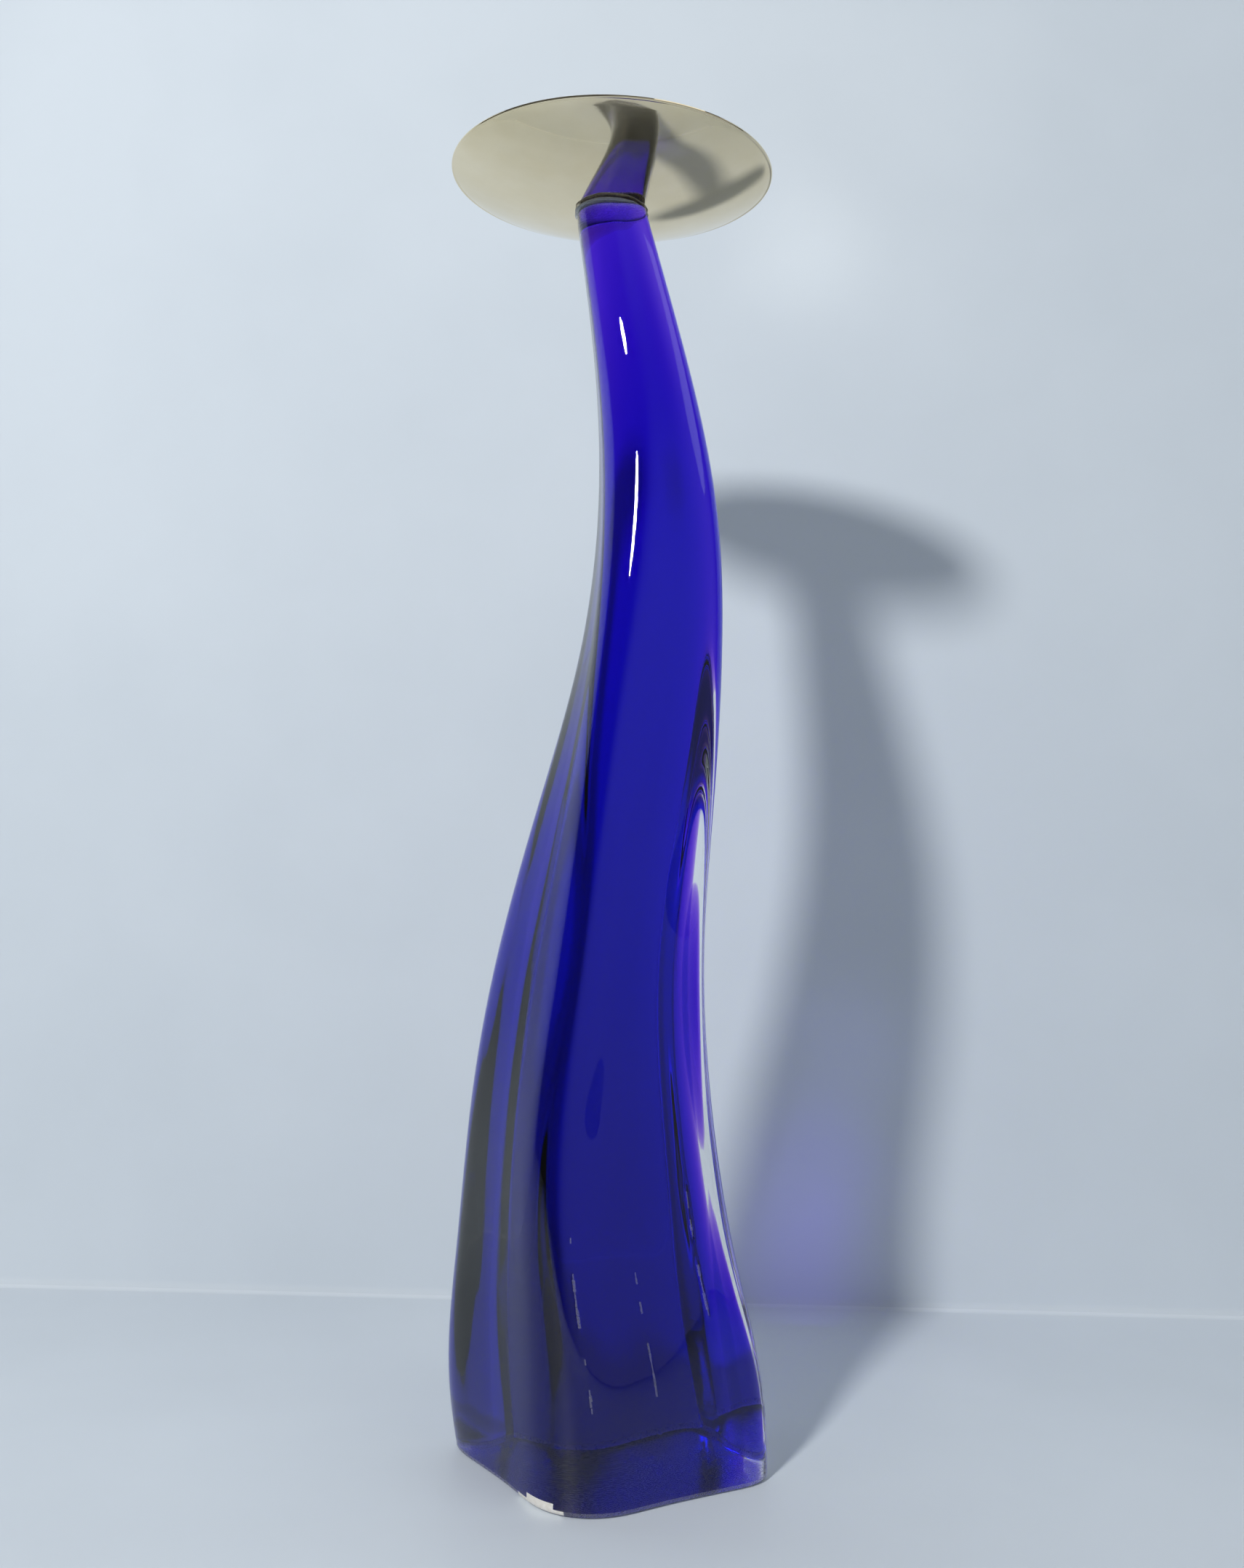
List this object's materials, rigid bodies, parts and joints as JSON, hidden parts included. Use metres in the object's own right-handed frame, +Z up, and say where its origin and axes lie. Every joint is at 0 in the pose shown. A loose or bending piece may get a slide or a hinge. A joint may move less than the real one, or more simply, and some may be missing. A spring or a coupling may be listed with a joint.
{
  "type": "candlestick",
  "caption": "Tall S-curved, twisted square column of cobalt glass cased in clear glass, with a shallow polished brass drip pan and a pricket on top.",
  "frame": {"origin": "middle of the flat ground foot, on the surface that the candlestick stands on", "axes": "+Z up along the column, -Y towards the column's broad soft corner, -X towards the side that the top leans to"},
  "size_m": [0.1058, 0.1, 0.4051],
  "materials": {
    "clear_glass": "fire-polished clear glass with faint tool ripples",
    "cobalt_glass": "transparent cobalt blue glass, deep and saturated",
    "polished_brass": "pale brass, spun and polished like a mirror",
    "clear_glue": "slightly cloudy hardened clear glue"
  },
  "bodies": {
    "root": {"clear_glass_casing": "clear_glass", "cobalt_glass_core": "cobalt_glass", "glue_pad": "clear_glue", "drip_pan": "polished_brass", "pricket": "polished_brass"}
  },
  "joints": []
}
